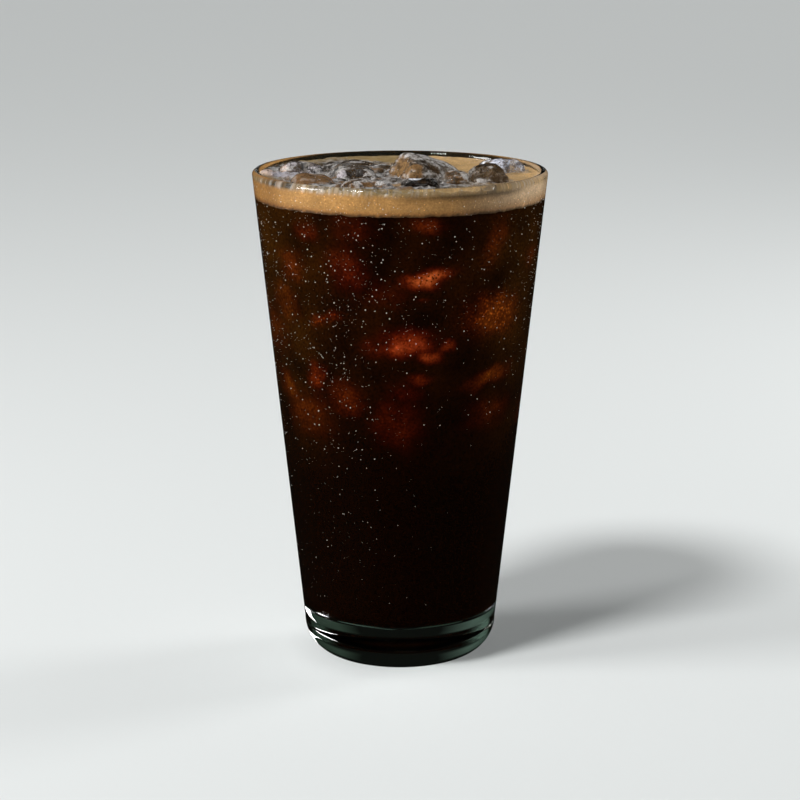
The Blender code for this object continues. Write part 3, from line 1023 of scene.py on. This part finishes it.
def make_froth(all_ice, foam, trees):
    """Bubbles where the foam meets the ice and the wall, and in patches on the ice."""
    rng = np.random.default_rng(23)
    ice_tree, foam_tree = tree_of(all_ice), tree_of([foam])
    edge = inner_radius(FOAM_TOP)
    places, normals, sizes = [], [], []
    down = Vector((0, 0, -1))
    while len(places) < FROTH:
        radius = edge * math.sqrt(rng.random())
        turn = rng.uniform(-math.pi, math.pi)
        x, y = radius * math.sin(turn), -radius * math.cos(turn)
        patch = layered_noise((x, y, 0.05), 5 * MM, 3)
        start = Vector((x, y, FOAM_TOP + 0.03))
        on_ice = ice_tree.ray_cast(start, down)
        on_foam = foam_tree.ray_cast(start, down)
        if on_ice[0] is not None and (on_foam[0] is None or on_ice[0].z > on_foam[0].z):
            lift = on_ice[0].z - FOAM_TOP
            chance = 0.5 * smooth_step(patch, 0.0, 0.35) * math.exp(-lift / (2.0 * MM))
            place, normal = on_ice[0], on_ice[1]
        else:
            side = ice_at(x, y, trees)
            at_wall = math.exp(-(edge - radius) / (0.8 * MM)) * froth_and_highlight_at(math.degrees(turn))
            chance = 0.02 + 0.9 * froth_share(x, y, side) * smooth_step(patch, -0.25, 0.2) + 0.9 * at_wall
            place, normal = on_foam[0], on_foam[1]
        if place is None or rng.random() > chance:
            continue
        places.append(tuple(place))
        normals.append(tuple(normal))
        sizes.append((FROTH_LEAST + FROTH_MORE * rng.random() ** FROTH_POWER) * MM)
    places, normals, sizes = np.array(places), np.array(normals), np.array(sizes)
    shape, finish = dome(6, 2), froth_material()
    return scatter("froth", places, normals, sizes, FROTH_FLATNESS, shape, finish)


# The stage

# How bright the world and the floor look: plain to the camera, dimmer where they light the drink, and nearly
# black in what the glass mirrors and bends, as between the black flags of a studio, with a dim grey card
# towards either side of what is seen through the glass.
PALE = (0.70, 0.72, 0.715)
FILL = (0.13, 0.135, 0.135)
FLAGS = (0.004, 0.005, 0.004)

# The cards: the colour, and how far to the side a ray has to go for the first and for the whole of it, then
# the height of a ray at which they start and end to fade
CARDS = [((0.060, 0.094, 0.074), -0.30, -0.62), ((0.028, 0.046, 0.033), 0.30, 0.50)]
CARD_TOP = (0.28, 0.37)
FLOOR_HALF = 6.0
AIM_HEIGHT = 0.10


def flags_and_cards(tree, kind):
    """What shows in the glass, and whether the glass has mirrored or bent the ray."""
    path = node(tree, "ShaderNodeLightPath")
    through = path.outputs["Is Transmission Ray"]
    bent = calculated(tree, "MAXIMUM", path.outputs["Is Glossy Ray"], through)
    place = node(tree, "ShaderNodeTexCoord").outputs[kind]
    flat = node(tree, "ShaderNodeVectorMath", operation="MULTIPLY")
    flat.inputs[1].default_value = (1, 1, 0)
    way = node(tree, "ShaderNodeVectorMath", operation="NORMALIZE")
    across = node(tree, "ShaderNodeSeparateXYZ")
    tree.links.new(place, flat.inputs[0])
    tree.links.new(flat.outputs[0], way.inputs[0])
    tree.links.new(way.outputs[0], across.inputs[0])
    height = node(tree, "ShaderNodeSeparateXYZ")
    tree.links.new(place, height.inputs[0])
    low = calculated(tree, "MULTIPLY", mapped(tree, height.outputs["Z"], *CARD_TOP, 1.0, 0.0), through)
    colour = FLAGS
    for card, start, full in CARDS:
        near = mapped(tree, across.outputs["X"], start, full, 0.0, 1.0)
        colour = mixed_colour(tree, calculated(tree, "MULTIPLY", near, low), colour, card)
    return colour, bent


def make_floor():
    material, tree, shader = new_material("pale_floor")
    shader.inputs["Base Color"].default_value = (*PALE, 1)
    shader.inputs["Roughness"].default_value = 0.9
    shader.inputs["Specular IOR Level"].default_value = 0.0
    colour, bent = flags_and_cards(tree, "Object")
    seen = node(tree, "ShaderNodeEmission")
    tree.links.new(colour, seen.inputs["Color"])
    show(tree, mixed_shader(tree, bent, shader.outputs[0], seen.outputs[0]))
    half = FLOOR_HALF
    corners = [(-half, -half, 0), (half, -half, 0), (half, half, 0), (-half, half, 0)]
    mesh_object("floor", corners, [(0, 1, 2, 3)], material)


def make_world():
    world = bpy.data.worlds.new("studio")
    bpy.context.scene.world = world
    world.use_nodes = True
    tree = world.node_tree
    colour, bent = flags_and_cards(tree, "Generated")
    seen = mixed_colour(tree, bent, PALE, colour)
    lights = node(tree, "ShaderNodeLightPath").outputs["Is Diffuse Ray"]
    lit = mixed_colour(tree, lights, seen, FILL)
    tree.links.new(lit, tree.nodes["Background"].inputs["Color"])


def direction(azimuth, elevation):
    """The way to a light, azimuth in degrees from the viewer to their right."""
    turn, lift = math.radians(azimuth), math.radians(elevation)
    return Vector((math.sin(turn) * math.cos(lift), -math.cos(turn) * math.cos(lift), math.sin(lift)))


def add_light(name, lamp, place, aim=(0, 0, AIM_HEIGHT), mirrored=True):
    made = bpy.data.objects.new(name, lamp)
    bpy.context.scene.collection.objects.link(made)
    made.location = place
    made.rotation_euler = (Vector(aim) - Vector(place)).to_track_quat("-Z", "Y").to_euler()
    made.visible_camera = False
    made.visible_glossy = mirrored


def sun(name, azimuth, elevation, spread, strength):
    lamp = bpy.data.lights.new(name, "SUN")
    lamp.angle = math.radians(spread)
    lamp.energy = strength
    add_light(name, lamp, direction(azimuth, elevation) * 2)


def softbox(name, azimuth, elevation, away, size, brightness, aim_height=AIM_HEIGHT, mirrored=True):
    """A rectangle of light, size (width, height) in metres, whose face looks as bright as brightness."""
    lamp = bpy.data.lights.new(name, "AREA")
    lamp.shape = "RECTANGLE"
    lamp.size, lamp.size_y = size
    lamp.energy = brightness * math.pi * size[0] * size[1]
    aim = Vector((0, 0, aim_height))
    add_light(name, lamp, direction(azimuth, elevation) * away + aim, aim, mirrored)


def make_lights():
    sun("key", azimuth=-43, elevation=52, spread=13, strength=2.3)
    softbox("left_box", azimuth=-76, elevation=20, away=1.1, size=(0.35, 0.6), brightness=13.5)
    softbox(
        "right_strip", azimuth=115, elevation=17, away=1.0, size=(0.28, 0.75), brightness=7.5,
        aim_height=0.06, mirrored=False,
    )
    make_world()


def make_camera():
    lens = bpy.data.cameras.new("camera")
    lens.lens = CAMERA_LENS
    lens.sensor_width = SENSOR
    camera = bpy.data.objects.new("camera", lens)
    bpy.context.scene.collection.objects.link(camera)
    camera.location = CAMERA_PLACE
    camera.rotation_euler = (math.radians(90 - CAMERA_PITCH), 0, 0)
    bpy.context.scene.camera = camera


def main():
    make_camera()
    make_lights()
    make_floor()
    make_glass()
    make_coffee()
    wet_ice = ice_material()
    ice = [make_ice(name, wet_ice) for name in ICE_NODES]
    trees = [tree_of([piece]) for piece in ice]
    foam = make_foam(trees)
    make_froth(ice, foam, trees)
    make_drops()
    bpy.context.scene.view_settings.view_transform = "Standard"


main()
